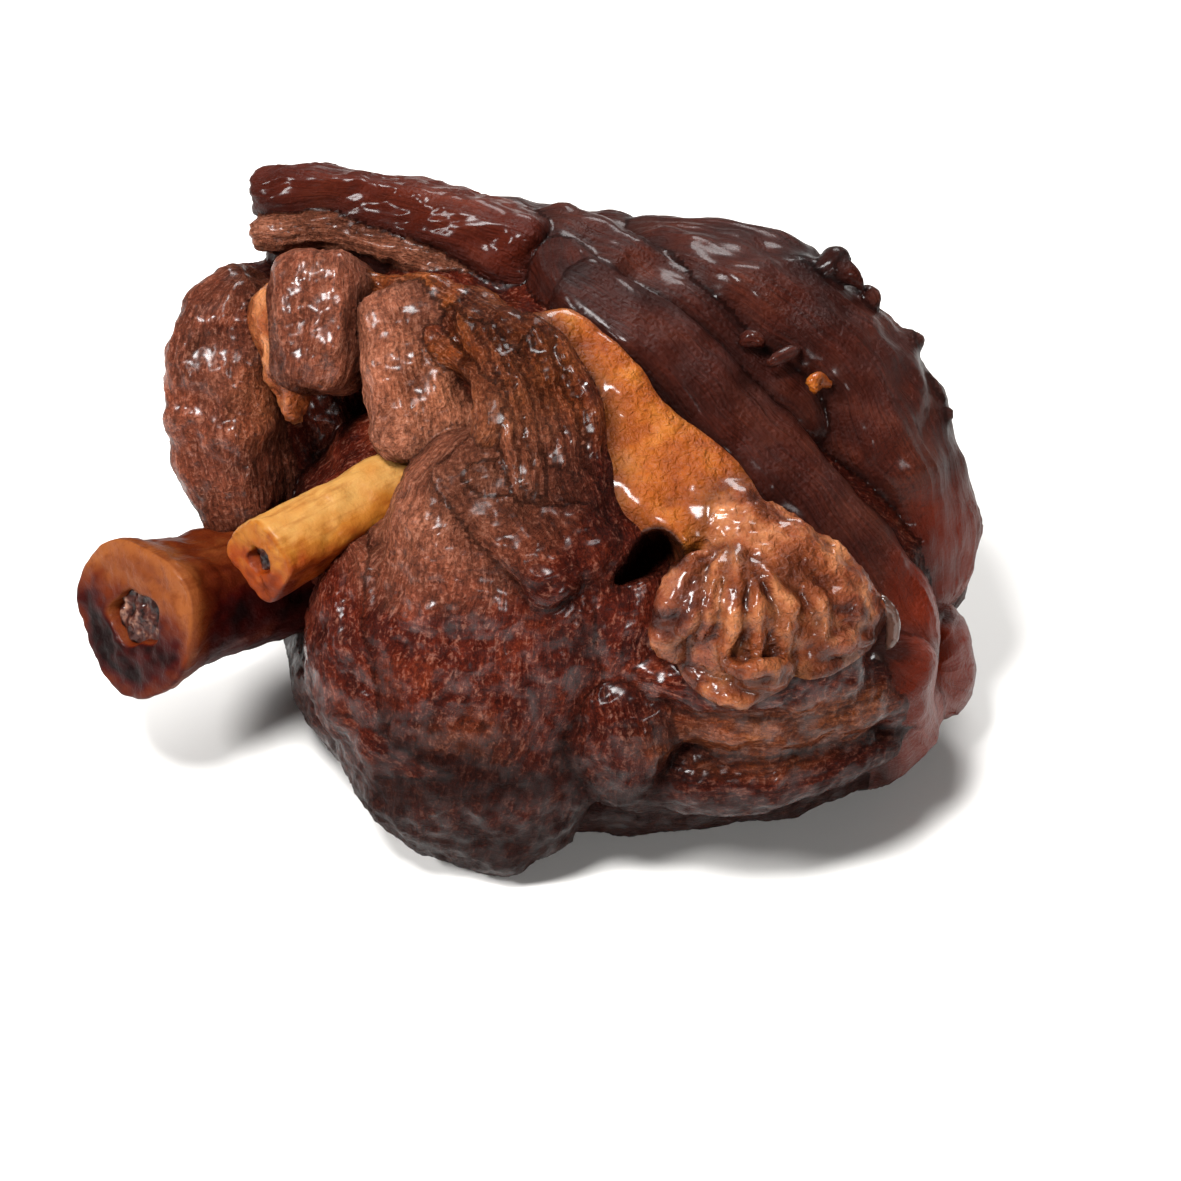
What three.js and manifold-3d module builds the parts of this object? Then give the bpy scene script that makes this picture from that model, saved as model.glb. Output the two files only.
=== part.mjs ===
// A braised pork knuckle, off its dish: one piece of meat wrapped in thick rind, with the two
// sawn leg bones standing out of the shank end. Millimetres, +Z up. The knuckle rests on its flat
// underside at Z = 0 with the bones towards -X, and the opened, meaty side faces -Y.
//
// The meat is one solid. Every muscle, strip of fat and fold of rind in it is a lobe: a sphere
// stretched along a short curve, wide across and thick outwards. The lobes are joined, levelled
// below and bored out for the bones.
import * as THREE from "three";
import { mergeVertices } from "three/addons/utils/BufferGeometryUtils.js";
import Module from "manifold-3d";

const wasm = await Module();
wasm.setup();

// Driving dimensions, in millimetres.
const LARGE_BONE = { radius: 14, flare: 3.5, marrow: 6.5, length: 74 };
const SMALL_BONE = { wide: 15, deep: 13.5, corner: 3.5, marrow: 3.2, length: 74 };
const FLARE_REACH = 18; // how far down the large bone its flare runs out
const MARROW_SUNK = 1.5; // how far the marrow has shrunk back from the sawn end
const GAP = 0.35; // left between the meat, a bone and its marrow
const LUMP = 0.9; // how far the surface of a muscle swells and dips
const LUMP_WAVES = [0.19, 0.14, 0.23]; // its waves along X, Y and Z, in radians for each millimetre
const FACET_AROUND = 7.6; // about the length of a face's side round a large lobe
const FACET_ALONG = 17; // and along it

// The two bones: where the sawn end of each stands, and the way it points out of the meat.
const LARGE_BONE_END = [-93, -15, 47];
const LARGE_BONE_OUT = [-0.8, -0.58, 0.13];
const SMALL_BONE_END = [-64, -25, 71];
const SMALL_BONE_OUT = [-0.815, -0.561, -0.137];

// The ways a lobe can face.
const UP = [0, 0, 1];
const FRONT = [0, -0.8, 0.55];
const BACK = [0, 0.9, 0.4];

// Each lobe runs from its first point through the second to the third. wide is half its width,
// thick is half its thickness towards face, and blunt above 2 squares off its two ends.
const LOBES = {
  core: { line: [[-60, 14, 48], [14, 12, 52], [82, 4, 38]], wide: 44, thick: 38, face: UP },
  belly: { line: [[-62, 4, 24], [10, 4, 19], [84, 0, 24]], wide: 48, thick: 26, face: UP, blunt: 2.4 },
  shank_back: { line: [[-68, 48, 96], [-58, 42, 62], [-34, 34, 28]], wide: 24, thick: 22, face: BACK },

  // The muscles laid open round the bones.
  front: {
    line: [[-22, -38, 0], [-12, -27, 56], [-9, -8, 94]],
    wide: 30, thick: 22, face: FRONT, blunt: 2.4,
  },
  front_left: { line: [[-44, -16, 68], [-37, -30, 46], [-30, -38, 14]], wide: 17, thick: 15, face: FRONT },
  front_side: { line: [[6, -38, 46], [12, -33, 66], [8, -20, 86]], wide: 12, thick: 12, face: FRONT },
  upper: {
    line: [[-31, 22, 107], [-29, 2, 93], [-22, -12, 76]],
    wide: 14, thick: 12, face: FRONT, blunt: 2.6,
  },
  nub: { line: [[-22, -4, 107], [-15, -13, 102], [-17, -19, 94]], wide: 5, thick: 5, face: FRONT },
  streaky: { line: [[-22, 18, 108], [0, -4, 97], [12, -30, 74]], wide: 13, thick: 10, face: FRONT },
  left: { line: [[-71, 38, 102], [-76, 27, 76], [-70, 10, 50]], wide: 13, thick: 15, face: FRONT },
  tendon: { line: [[-67, 27, 105], [-64, 17, 93], [-60, 7, 80]], wide: 4, thick: 5, face: FRONT },
  second: {
    line: [[-52, 32, 110], [-53, 20, 96], [-55, 8, 78]],
    wide: 11.5, thick: 14, face: FRONT, blunt: 2.6,
  },

  // The fat and the knot of gristle beside them, and the strips and the lump below.
  fat_wedge: {
    line: [[-2, 14, 103], [17, -8, 87], [30, -34, 68]],
    wide: 16, thick: 9, face: [0.2, -0.65, 0.75],
  },
  knot: {
    line: [[14, -38, 67], [40, -40, 66], [66, -34, 51]],
    wide: 17, thick: 14, face: FRONT, blunt: 2.6,
  },
  edge_strip: { line: [[18, -48, 49], [50, -50, 47], [78, -33, 40]], wide: 7, thick: 6, face: FRONT },
  lower_strip: { line: [[14, -46, 30], [41, -50, 34], [72, -38, 32]], wide: 8, thick: 7, face: FRONT },
  lower_lump: { line: [[10, -42, 56], [13, -42, 40], [12, -36, 20]], wide: 15, thick: 14, face: FRONT },

  // The thick flap at the shank end: a slab of rind over a slab of meat.
  flap_meat: {
    line: [[-66, 34, 102], [-36, 28, 104], [-2, 12, 98]],
    wide: 14, thick: 7, face: UP, blunt: 5,
  },
  flap_rind: {
    line: [[-66, 40, 109], [-36, 36, 111], [2, 20, 102]],
    wide: 15, thick: 7.5, face: [0, -0.5, 0.85], blunt: 5,
  },

  // The folds of rind, from the open side over the top and down the back.
  fold_1: {
    line: [[-10, 24, 104], [33, -1, 81], [78, -28, 36]],
    wide: 16, thick: 14, face: [0.35, -0.55, 0.75], blunt: 2.6,
  },
  fold_2: {
    line: [[-22, 42, 104], [44, 20, 87], [86, -10, 34]],
    wide: 17, thick: 14, face: [0.4, -0.2, 0.9], blunt: 2.6,
  },
  fold_3: {
    line: [[6, 60, 98], [64, 34, 78], [88, 8, 30]],
    wide: 18, thick: 14, face: [0.6, 0.2, 0.77], blunt: 2.6,
  },
  fold_4: {
    line: [[-12, 64, 84], [56, 54, 56], [84, 20, 16]],
    wide: 20, thick: 13, face: [0.5, 0.7, 0.5], blunt: 2.4,
  },
  fold_5: {
    line: [[-44, 60, 62], [26, 62, 36], [78, 18, 8]],
    wide: 20, thick: 13, face: [0.3, 0.9, 0.1], blunt: 2.4,
  },
  fold_6: {
    line: [[-66, 52, 96], [-20, 62, 84], [20, 66, 70]],
    wide: 18, thick: 11, face: BACK, blunt: 2.4,
  },
  fold_7: {
    line: [[-58, 52, 40], [6, 56, 18], [66, 20, 4]],
    wide: 20, thick: 12, face: [0, 0.9, -0.2], blunt: 2.4,
  },
  top_fold: {
    line: [[-50, 46, 94], [-12, 54, 91], [30, 50, 86]],
    wide: 13, thick: 10, face: [0, 0.5, 0.85], blunt: 2.4,
  },
  curl: { line: [[64, -40, 62], [72, -42, 50], [76, -38, 38]], wide: 6, thick: 6, face: FRONT },
  shred: { line: [[54, 38, 99], [60, 42, 102], [66, 42, 95]], wide: 6, thick: 6, face: UP },
};

const vector = (point) => new THREE.Vector3(...point);

// A closed three.js geometry as a solid that can be joined and cut.
function solidOf(geometry) {
  const bare = geometry.clone();
  bare.deleteAttribute("normal");
  bare.deleteAttribute("uv");
  const merged = mergeVertices(bare, 1e-4);
  return new wasm.Manifold(
    new wasm.Mesh({
      numProp: 3,
      vertProperties: new Float32Array(merged.attributes.position.array),
      triVerts: new Uint32Array(merged.index.array),
    }),
  );
}

function geometryOf(solid) {
  const mesh = solid.getMesh();
  return new THREE.BufferGeometry()
    .setAttribute("position", new THREE.BufferAttribute(mesh.vertProperties, 3))
    .setIndex(new THREE.BufferAttribute(mesh.triVerts, 1));
}

// How far the surface stands in or out at a point, in slow waves along the three axes.
function lump(point) {
  const [x, y, z] = point.toArray().map((value, axis) => Math.sin(value * LUMP_WAVES[axis]));
  return LUMP * (x * y + y * z + z * x);
}

// A sphere whose poles are drawn out along the line, its girth scaled across and towards face.
function lobe({ line, wide, thick, face, blunt = 2 }) {
  const [start, middle, end] = line.map(vector);
  const bend = middle.clone().multiplyScalar(2).sub(start.clone().add(end).multiplyScalar(0.5));
  const curve = new THREE.QuadraticBezierCurve3(start, bend, end);
  const around = 8 + 2 * Math.round(Math.max(wide, thick) / FACET_AROUND);
  const along = 6 + Math.round(curve.getLength() / FACET_ALONG);
  const geometry = new THREE.SphereGeometry(1, around, along);
  const place = geometry.attributes.position;
  for (let i = 0; i < place.count; i++) {
    const [across, pole, out] = [place.getX(i), place.getY(i), place.getZ(i)];
    const girth = Math.hypot(across, out);
    const full = (1 - Math.abs(pole) ** blunt) ** (1 / blunt);
    const swell = girth > 1e-6 ? full / girth : 0;
    const share = (1 - pole) / 2;
    const tangent = curve.getTangent(share);
    const outward = vector(face).addScaledVector(tangent, -vector(face).dot(tangent)).normalize();
    const sideways = tangent.clone().cross(outward);
    const point = curve
      .getPoint(share)
      .addScaledVector(sideways, across * swell * wide)
      .addScaledVector(outward, out * swell * thick);
    point.addScaledVector(point.clone().sub(curve.getPoint(share)).normalize(), lump(point));
    place.setXYZ(i, point.x, point.y, point.z);
  }
  const solid = solidOf(geometry);
  return solid.volume() < 0 ? solidOf(flipped(geometry)) : solid;
}

// The same geometry with every face turned over.
function flipped(geometry) {
  const turned = geometry.clone();
  turned.index.array.reverse();
  return turned;
}

// Stands a geometry that was made along +Z so that its top ends at end and points out.
function aimed(geometry, end, out) {
  const turn = new THREE.Quaternion().setFromUnitVectors(vector(UP), vector(out).normalize());
  return geometry.applyQuaternion(turn).translate(...end);
}

// A round shaft down from Z = 0, flared at its sawn top. grow adds to every side.
function roundShaft({ radius, flare, length }, grow = 0) {
  const slim = radius + grow;
  const profile = [
    [0, grow],
    [slim + flare * 0.8, grow],
    [slim + flare, -FLARE_REACH / 6],
    [slim + flare * 0.5, -FLARE_REACH / 2],
    [slim, -FLARE_REACH],
    [slim, -length - grow],
    [0, -length - grow],
  ].map(([r, z]) => new THREE.Vector2(r, z));
  return new THREE.LatheGeometry(profile.reverse(), 20).rotateX(Math.PI / 2);
}

// A shaft down from Z = 0 with a rounded square section.
function squareShaft({ wide, deep, corner, length }, grow = 0) {
  const [x, y, r] = [wide / 2 + grow, deep / 2 + grow, corner + grow];
  const section = new THREE.Shape()
    .moveTo(-x + r, -y)
    .lineTo(x - r, -y)
    .absarc(x - r, -y + r, r, -Math.PI / 2, 0)
    .lineTo(x, y - r)
    .absarc(x - r, y - r, r, 0, Math.PI / 2)
    .lineTo(-x + r, y)
    .absarc(-x + r, y - r, r, Math.PI / 2, Math.PI)
    .lineTo(-x, -y + r)
    .absarc(-x + r, -y + r, r, Math.PI, Math.PI * 1.5);
  const depth = length + 2 * grow;
  return new THREE.ExtrudeGeometry(section, { depth, bevelEnabled: false, curveSegments: 5 })
    .translate(0, 0, -length - grow);
}

// A plain round rod down from height Z = top.
function rod(radius, length, top = 0) {
  return new THREE.CylinderGeometry(radius, radius, length, 16)
    .rotateX(Math.PI / 2)
    .translate(0, 0, top - length / 2);
}

// The outermost surface alone, so that pockets shut in between lobes are filled.
function filled(solid) {
  return solid.decompose().reduce((a, b) => (a.volume() > b.volume() ? a : b));
}

const BLOCK = 400; // the side of a block larger than the knuckle, for levelling its underside

function meatSolid() {
  const joined = filled(Object.values(LOBES).map(lobe).reduce((whole, part) => whole.add(part)));
  const block = new THREE.BoxGeometry(BLOCK, BLOCK, BLOCK).translate(0, 0, -BLOCK / 2);
  const below = solidOf(block);
  const largeSocket = solidOf(aimed(roundShaft(LARGE_BONE, GAP), LARGE_BONE_END, LARGE_BONE_OUT));
  const smallSocket = solidOf(aimed(squareShaft(SMALL_BONE, GAP), SMALL_BONE_END, SMALL_BONE_OUT));
  return joined.subtract(below).subtract(largeSocket).subtract(smallSocket);
}

function boneSolid(shaft, size, end, out) {
  const clear = 2; // how far the bore runs past both ends
  const bore = solidOf(aimed(rod(size.marrow + GAP, size.length + 2 * clear, clear), end, out));
  return solidOf(aimed(shaft(size), end, out)).subtract(bore);
}

function marrowSolid(size, end, out) {
  return solidOf(aimed(rod(size.marrow, size.length - MARROW_SUNK, -MARROW_SUNK), end, out));
}

const braised = { meat: 0x4a1f14, bone: 0xd9a55c, marrow: 0x3a1a14 };

function named(name, solid, color, roughness) {
  const material = new THREE.MeshStandardMaterial({ color, roughness, metalness: 0 });
  const mesh = new THREE.Mesh(geometryOf(solid), material);
  mesh.name = name;
  return mesh;
}

const large = [LARGE_BONE, LARGE_BONE_END, LARGE_BONE_OUT];
const small = [SMALL_BONE, SMALL_BONE_END, SMALL_BONE_OUT];
const knuckle = new THREE.Group();
knuckle.add(
  named("meat", meatSolid(), braised.meat, 0.35),
  named("large_bone", boneSolid(roundShaft, ...large), braised.bone, 0.6),
  named("small_bone", boneSolid(squareShaft, ...small), braised.bone, 0.6),
  named("large_marrow", marrowSolid(...large), braised.marrow, 0.4),
  named("small_marrow", marrowSolid(...small), braised.marrow, 0.4),
);

// The frame's origin is under the middle of the whole.
const box = new THREE.Box3().setFromObject(knuckle);
const middle = box.getCenter(new THREE.Vector3());
knuckle.position.set(-middle.x, -middle.y, -box.min.z);

export default knuckle;
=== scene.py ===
# A braised pork knuckle, off its dish: a joint of meat opened on one side, wrapped in thick folds
# of dark rind, with two sawn leg bones standing out of the shank end.
import math

import bpy
import numpy as np
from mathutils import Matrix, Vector


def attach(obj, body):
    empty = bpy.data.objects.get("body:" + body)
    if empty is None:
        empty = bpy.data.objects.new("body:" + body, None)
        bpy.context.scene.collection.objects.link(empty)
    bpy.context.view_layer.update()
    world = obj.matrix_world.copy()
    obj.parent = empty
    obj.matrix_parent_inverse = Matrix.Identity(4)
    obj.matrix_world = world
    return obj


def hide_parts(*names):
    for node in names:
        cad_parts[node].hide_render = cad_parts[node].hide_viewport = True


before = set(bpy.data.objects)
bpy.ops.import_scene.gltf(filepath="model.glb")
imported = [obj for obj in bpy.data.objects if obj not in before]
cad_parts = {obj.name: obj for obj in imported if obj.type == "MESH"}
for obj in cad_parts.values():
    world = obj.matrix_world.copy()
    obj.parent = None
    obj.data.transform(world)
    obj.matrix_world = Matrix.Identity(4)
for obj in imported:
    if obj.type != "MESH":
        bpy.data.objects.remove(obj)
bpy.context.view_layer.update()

# ---------------------------------------------------------------------------------------------
# The whole joint. A hind knuckle is one joint of pork: long muscles round two leg bones, fat and
# gristle between them, and the skin folded round the back. Hours in soy sauce have shrunk every
# muscle, strip and fold into a plump shape of its own, parted from the next by a deep crease.

MM = 0.001
ORIGIN = np.array([3.76, -12.09, 0.0])  # the frame's middle, seen from the middle of the joint, in mm
STEP = 0.9  # how fine the joint's skin is modelled, in mm
COARSE = 3  # how many fine steps the first search takes at once

LEAN, FAT, RIND, GAP = range(4)
UP = (0, 0, 1)
FRONT = (0, -0.8, 0.55)
BACK = (0, 0.9, 0.4)


def lobe(kind, line, wide, thick, face=FRONT, blunt=2.0, boxy=2.0, taper=(1, 1), melt=1.1):
    """One muscle, strip or fold, from the first point of its line through the second to the third, in mm.

    wide and thick are half its width and half its thickness towards face. blunt above 2 squares off
    its ends and boxy its section, taper is its size at each end, and melt is how far it runs into
    its neighbours."""
    start, middle, end = (np.array(point, float) for point in line)
    bend = 2 * middle - (start + end) / 2
    steps = np.linspace(0, 1, 20)[:, None]
    way = 2 * (bend - start), start - 2 * bend + end
    centre = start + steps * way[0] + steps**2 * way[1]
    reach = max(wide, thick) * max(taper) * (1.25 if boxy > 2 else 1) + 6
    return {
        "kind": kind, "start": start, "way": way, "face": np.array(face, float), "wide": wide,
        "thick": thick, "blunt": blunt, "boxy": boxy, "taper": taper, "melt": melt,
        "low": centre.min(0) - reach, "high": centre.max(0) + reach,
        "length": float(np.linalg.norm(np.diff(centre, axis=0), axis=1).sum()),
    }


FLAP_CUT = (0, -0.85, 0.53)
lobes = {
    "core": lobe(LEAN, [(-60, 14, 48), (14, 12, 52), (82, 4, 38)], 44, 38, UP),
    "belly": lobe(LEAN, [(-62, 4, 24), (10, 4, 19), (84, 0, 24)], 48, 26, UP, 2.4),
    "shank_back": lobe(LEAN, [(-68, 48, 96), (-58, 42, 62), (-34, 34, 28)], 24, 22, BACK),
    # The muscles laid open round the bones.
    "front": lobe(LEAN, [(-22, -38, 0), (-12, -27, 56), (-9, -8, 94)], 29, 22, FRONT, 2.6, 2.8),
    "front_left": lobe(LEAN, [(-44, -16, 68), (-37, -30, 46), (-30, -38, 14)], 17, 15, melt=12),
    "front_side": lobe(LEAN, [(6, -38, 46), (12, -33, 66), (8, -20, 86)], 12, 12, melt=4),
    "flake": lobe(
        LEAN, [(-20, -18, 96), (-7, -31, 87), (5, -40, 77)], 12, 4.5, (0.3, -0.8, 0.5), 5, 4, melt=1.5),
    "frill": lobe(LEAN, [(-50, -36, 47), (-34, -46, 37), (-9, -51, 33)], 4, 4.5, melt=4),
    "upper": lobe(LEAN, [(-34, 22, 104), (-31, 6, 95), (-29, -6, 83)], 12, 10.5, (0.1, -0.75, 0.6), 5, 4.5),
    "nub": lobe(LEAN, [(-20, -4, 106), (-14, -13, 103), (-17, -21, 96)], 4.6, 4.6, taper=(0.7, 1.3), melt=2),
    "left": lobe(LEAN, [(-68, 38, 100), (-73, 27, 76), (-67, 10, 50)], 12, 15, (-0.4, -0.7, 0.5), 3, 3),
    "second": lobe(LEAN, [(-51, 31, 109), (-52, 21, 99), (-54, 12, 88)], 9.5, 12, (-0.2, -0.8, 0.5), 4.5, 4),
    "lower_strip": lobe(LEAN, [(14, -46, 30), (41, -50, 34), (72, -38, 32)], 8, 7, melt=2),
    "lower_lump": lobe(LEAN, [(10, -42, 56), (13, -42, 40), (12, -36, 20)], 15, 14, melt=1.5),
    "flap_meat": lobe(
        LEAN, [(-66, 49, 104), (-36, 43, 105), (-6, 32, 99)], 5.2, 12, FLAP_CUT, 5, 3, (1, 0.6)),
    "streaky": lobe(LEAN, [(-24, 16, 108), (-5, -6, 97.5), (7, -32, 76)], 11.5, 10, melt=2),
    # Fat and gristle, and the strips of meat among them.
    "fat_wedge": lobe(
        FAT, [(-4, 9, 110), (11, -8, 94.5), (31, -27, 79.5)], 10.5, 7, (0.25, -0.65, 0.72), 6, 4,
        (0.6, 1.3), melt=2),
    "knot": lobe(FAT, [(22, -42, 70), (40, -42, 67), (59, -37, 58)], 12, 11, FRONT, 2.6, melt=5),
    "apron": lobe(FAT, [(30, -23, 84), (47, -34, 76), (64, -36, 61)], 9.5, 8, (0.3, -0.6, 0.74), 2.6, melt=5),
    "edge_strip": lobe(LEAN, [(16, -44, 47), (46, -47, 47), (70, -35, 43)], 6.5, 8, melt=6),
    "under_knot": lobe(LEAN, [(14, -44, 58), (42, -49, 57), (66, -39, 51)], 7, 8, melt=4),
    "tendon": lobe(FAT, [(-64, 28, 103), (-61, 18, 94), (-57, 8, 81)], 4.8, 7, melt=4),
    "amber_band": lobe(
        LEAN, [(-44, 27, 106.5), (-20, 12, 108.5), (0, -3, 105.5)], 4, 4, (0, -0.5, 0.85), melt=4),
    "nub_strand": lobe(LEAN, [(-32, 12, 105), (-24, 3, 105.5), (-17, -6, 104)], 2.4, 2.6, melt=3),
    # The thick flap at the shank end, the folds of rind over the top and down the back, and the
    # meat that shows under the flap.
    "fold_1": lobe(
        RIND, [(1, 22, 108.5), (34, 3, 85), (75, -24, 40)], 13.5, 13, (0.3, -0.5, 0.8), 4, 3, (0.6, 1)),
    "fold_1_head": lobe(RIND, [(1, 21, 106), (0, 27, 107), (0, 35, 107)], 7, 7, UP, 3, 3, melt=7),
    "flap_rind": lobe(
        RIND, [(-67, 54, 110.5), (-35, 48, 111), (-4, 38, 105)], 8.4, 14, FLAP_CUT, 8, 4, (0.6, 1.05)),
    "fold_2": lobe(
        RIND, [(-10, 43, 105), (22, 27, 98), (56, 6, 80)], 10, 10, (0.1, -0.15, 0.98), 3, 2.6, (1.3, 0.6)),
    "fold_3": lobe(RIND, [(11, 48, 97), (57, 28, 84.5), (81, 2, 37)], 18.5, 14, (0.5, 0, 0.86), 2.8, 3),
    "fold_4": lobe(RIND, [(-12, 64, 84), (56, 54, 56), (84, 20, 16)], 20, 13, (0.5, 0.7, 0.5), 2.4),
    "fold_5": lobe(RIND, [(-44, 60, 62), (26, 62, 36), (78, 18, 8)], 20, 13, (0.3, 0.9, 0.1), 2.4),
    "fold_6": lobe(RIND, [(-66, 52, 96), (-20, 62, 84), (20, 66, 70)], 18, 11, BACK, 2.4),
    "fold_7": lobe(RIND, [(-58, 52, 40), (6, 56, 18), (66, 20, 4)], 20, 12, (0, 0.9, -0.2), 2.4),
    "top_fold": lobe(RIND, [(-50, 48, 97), (-12, 53, 97), (30, 50, 91)], 14, 10.5, (0, 0.3, 0.95), 3, 2.6),
    "low_side": lobe(RIND, [(64, -32, 38), (72, -24, 24), (68, -20, 6)], 12, 9, (0.8, -0.5, 0.2), melt=6),
    "corner": lobe(RIND, [(65, -34, 54), (72, -30, 44), (74, -25, 32)], 7, 7, (0.6, -0.7, 0.3), melt=8),
    "heel": lobe(RIND, [(80, -14, 32), (84, 2, 20), (80, 14, 14)], 13, 8, (0.9, -0.1, 0.1), melt=6),
    "wet_lip": lobe(
        RIND, [(64.5, -34.5, 70.5), (67.5, -37.5, 64), (66.5, -38.5, 58)], 1.3, 2.2, (0.5, -0.8, 0.3),
        melt=1.5),
    "under_flap": lobe(LEAN, [(-42, 36, 98), (-18, 26, 99), (3, 15, 99)], 13, 7, UP, melt=4),
}

# Torn scraps that hang on the folds of rind and along the back edge.
for i, (place, size, kind) in enumerate([
    ((15, 18, 106), 1.7, RIND), ((40, 13, 99.5), 2.8, RIND), ((46, 10, 97.5), 2.6, RIND),
    ((53, 7, 92.5), 3.0, FAT), ((53, 41, 99), 3.6, RIND), ((57, 39, 100), 4.4, RIND),
    ((61, 38, 100), 3.8, RIND), ((66, 37, 95), 3.0, RIND), ((75, 33, 84), 2.6, RIND),
    ((79, 26, 79), 2.4, RIND), ((82, 20, 73), 2.6, RIND),
]):
    place = np.array(place, float)
    reach = np.array([math.sin(2.3 * i), math.cos(1.7 * i), 0.3 * math.sin(1.1 * i) - 0.4]) * size * 1.3
    arch = np.array([0.4, -0.2, 0.9]) * size * 0.6
    line = [place - reach, place + arch, place + reach]
    lobes[f"scrap_{i}"] = lobe(kind, line, size * 0.8, size * 0.6, taper=(1, 0.6), melt=2)


def between(first, last, share):
    return tuple(a + (b - a) * share for a, b in zip(first, last))


# Long strands of the streaky muscle, fanning down from under the flap.
STRANDS = 8
for i in range(STRANDS):
    share = i / (STRANDS - 1)
    line = [
        between((-22, 13, 110), (-4, 4, 108.5), share),
        between((-14, -13, 105.5), (4, -11, 103), share),
        between((-7, -36, 86), (11, -35, 80), share),
    ]
    lobes[f"strand_{i}"] = lobe(LEAN, line, 1.7 + 0.5 * (i % 2), 2.2 + 0.6 * (i % 3), melt=0.6)

# The gristle is drawn up in pleats that fan out from under the strip of fat, with a curl below.
PLEAT_TOP = (35, -34, 82)
for i, (middle, end, wide) in enumerate([
    ((31, -44, 81), (27, -53, 72), 1.8), ((35, -45, 81), (33, -55, 69), 1.8),
    ((39, -45, 80), (39, -55, 67), 1.6), ((43, -44, 79), (46, -53, 65), 1.6),
    ((48, -41, 78), (54, -49, 66), 1.7), ((53, -37, 76), (62, -43, 65), 1.6),
]):
    lobes[f"pleat_{i}"] = lobe(FAT, [PLEAT_TOP, middle, end], wide, 3.0, taper=(0.8, 1.2), melt=2.0)
for name, line, wide in [
    ("pleat_left", [(32, -36, 82), (24, -43, 81), (19, -49, 75)], 3.0),
    ("pleat_loop", [(30, -41, 80), (25, -48, 78), (23, -53, 71)], 2.2),
    ("pleat_side", [(20, -45, 75), (21, -50, 70), (26, -52, 66)], 3.0),
    ("curl_low", [(26, -53, 64), (35, -56, 61), (44, -53, 62)], 2.4),
    ("curl_high", [(33, -55, 68), (40, -57, 69), (47, -53, 65)], 2.2),
    ("curl_mid", [(36, -54, 64), (41, -56, 66), (46, -54, 61)], 1.8),
    ("curl_end", [(46, -52, 62), (53, -50, 60), (59, -46, 61)], 2.4),
    ("curl_side", [(52, -49, 64), (58, -47, 66), (62, -42, 62)], 2.0),
]:
    lobes[name] = lobe(FAT, line, wide, wide * 1.2, melt=1.8)

# The deep gap left where the muscles drew away from the gristle.
lobes["gap_wedge"] = lobe(
    GAP, [(10, -40, 76.5), (17, -36, 79.5), (23, -33, 82)], 4.2, 13, (0, -0.8, 0.6), 3, 2, (0.4, 1.3))


def measure(points, part):
    """Each point's distance out of a lobe in mm, its share of the way along, and its turn round it."""
    way, bow = part["way"]
    chord = way + bow
    share = (points - part["start"]) @ chord / (chord @ chord)
    for _ in range(4):
        off = part["start"] + share[:, None] * way + (share**2)[:, None] * bow - points
        run = way + 2 * share[:, None] * bow
        speed = (run * run).sum(1)
        share = share - (off * run).sum(1) / np.maximum(speed + 2 * off @ bow, 0.3 * speed)
        share = np.clip(share, -0.6, 1.6)
    run = way + 2 * share[:, None] * bow
    speed = np.linalg.norm(run, axis=1)
    along = run / speed[:, None]
    out = part["face"] - (along @ part["face"])[:, None] * along
    out /= np.linalg.norm(out, axis=1)[:, None]
    side = np.cross(along, out)
    rest = points - (part["start"] + share[:, None] * way + (share**2)[:, None] * bow)
    size = part["taper"][0] + (part["taper"][1] - part["taper"][0]) * np.clip(share, 0, 1)
    across = (rest * side).sum(1) / (part["wide"] * size)
    outward = (rest * out).sum(1) / (part["thick"] * size)
    boxy, blunt = part["boxy"], part["blunt"]
    girth = np.maximum((np.abs(across) ** boxy + np.abs(outward) ** boxy) ** (1 / boxy), 1e-4)
    pole = np.abs(2 * share - 1)
    whole = (pole**blunt + girth**blunt) ** (1 / blunt)
    steep = np.hypot(
        (np.abs(across) / girth) ** (boxy - 1) / (part["wide"] * size),
        (np.abs(outward) / girth) ** (boxy - 1) / (part["thick"] * size),
    ) * (girth / whole) ** (blunt - 1)
    steep = np.hypot(steep, (pole / whole) ** (blunt - 1) * 2 / speed)
    return (whole - 1) / steep, share, np.arctan2(across, outward)


CORNERS = np.array([(i, j, k) for i in (0, 1) for j in (0, 1) for k in (0, 1)])
EDGES = [(a, b) for a in range(8) for b in range(a + 1, 8) if abs(CORNERS[a] - CORNERS[b]).sum() == 1]


def lattice(cell, seed):
    """A value from 0 to 1 for each whole point, always the same for the same point and seed."""
    cell = cell.astype(np.uint64)
    mix = cell[:, 0] * np.uint64(374761393) + cell[:, 1] * np.uint64(668265263)
    mix = mix + cell[:, 2] * np.uint64(2246822519) + np.uint64(seed * 3266489917)
    mix = (mix ^ (mix >> np.uint64(13))) * np.uint64(1274126177)
    return ((mix ^ (mix >> np.uint64(16))) & np.uint64(0xFFFF)).astype(float) / 0xFFFF


def swell(places, size, seed):
    """Smooth random swelling from -1 to 1, in lumps about size mm wide."""
    at = places / np.array(size) + 1000
    cell = np.floor(at)
    part = at - cell
    part = part * part * (3 - 2 * part)
    total = np.zeros(len(places))
    for corner in CORNERS:
        weight = np.where(corner, part, 1 - part).prod(1)
        total += weight * lattice(cell + corner, seed)
    return total * 2 - 1


def ridged(places, size, seed):
    """Narrow raised lines from -1 to 1 between hollows about size mm wide."""
    return 1 - 2 * np.abs(swell(places, size, seed)) ** 0.7


def bent(points):
    """The points shifted a little at random, so that no muscle or fold is a clean shape."""
    shift = [1.7 * swell(points, 13, 41 + i) + 0.9 * swell(points, 5.5, 51 + i) for i in range(3)]
    return points + np.stack(shift, 1)


FAR = 50.0


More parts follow.
